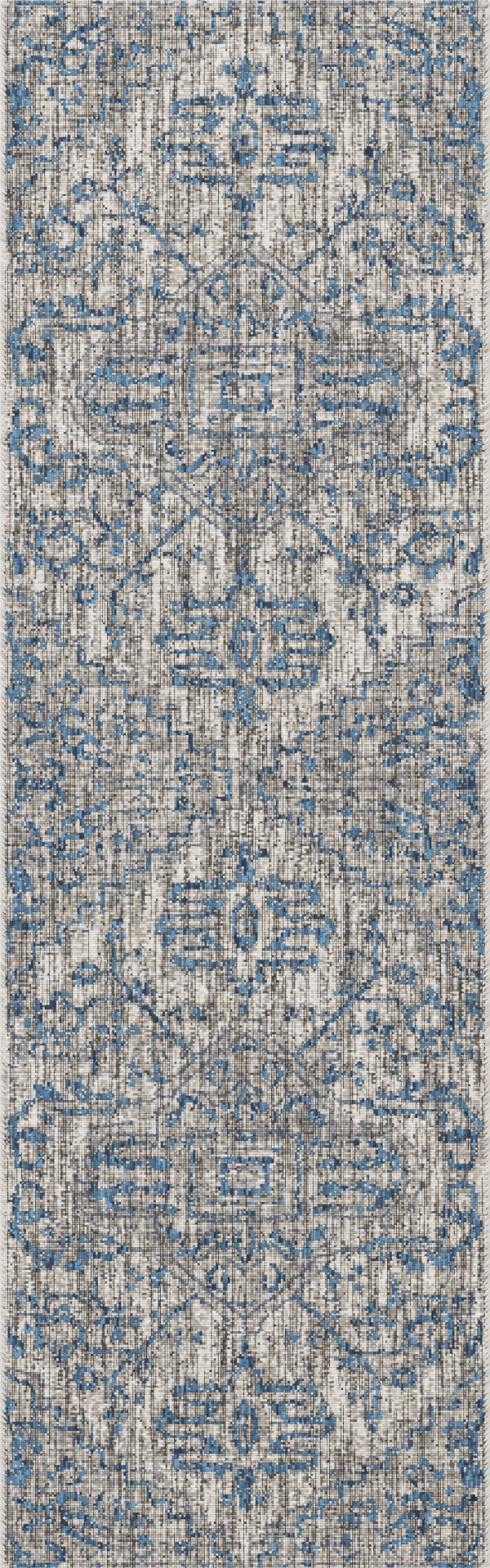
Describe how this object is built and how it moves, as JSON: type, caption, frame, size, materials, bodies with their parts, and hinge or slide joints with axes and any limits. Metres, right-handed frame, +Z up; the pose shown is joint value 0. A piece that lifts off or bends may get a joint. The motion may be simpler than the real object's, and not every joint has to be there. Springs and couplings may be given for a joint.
{
  "type": "runner rug",
  "caption": "Long narrow flat-woven floor rug with a repeated medallion and corner ornament in blues on beige, wrapped long edges and hems turned under at both ends.",
  "frame": {"origin": "middle of the rug on the plane that it lies on", "axes": "+Y along the length towards the head end, +X across the width, +Z up out of the face side"},
  "size_m": [0.762, 2.4384, 0.0097],
  "materials": {
    "woven_cloth": "jacquard flat weave of cream and beige weft over charcoal warp, with blue figure yarns, matt",
    "serging_yarn": "thick cream yarn wrapped close round the edge, soft matt",
    "filler_cord": "plain twisted cord, hidden inside the serging",
    "sewing_thread": "fine cream sewing thread, slight sheen"
  },
  "bodies": {
    "root": {"woven_panel": "woven_cloth", "left_serging": "serging_yarn", "left_edge_cord": "filler_cord", "right_serging": "serging_yarn", "right_edge_cord": "filler_cord", "head_hem_needle_thread": "sewing_thread", "head_hem_bobbin_thread": "sewing_thread", "head_cut_edge_overlock": "sewing_thread", "head_left_corner_tack": "serging_yarn", "head_right_corner_tack": "serging_yarn", "foot_hem_needle_thread": "sewing_thread", "foot_hem_bobbin_thread": "sewing_thread", "foot_cut_edge_overlock": "sewing_thread", "foot_left_corner_tack": "serging_yarn", "foot_right_corner_tack": "serging_yarn"}
  },
  "joints": []
}
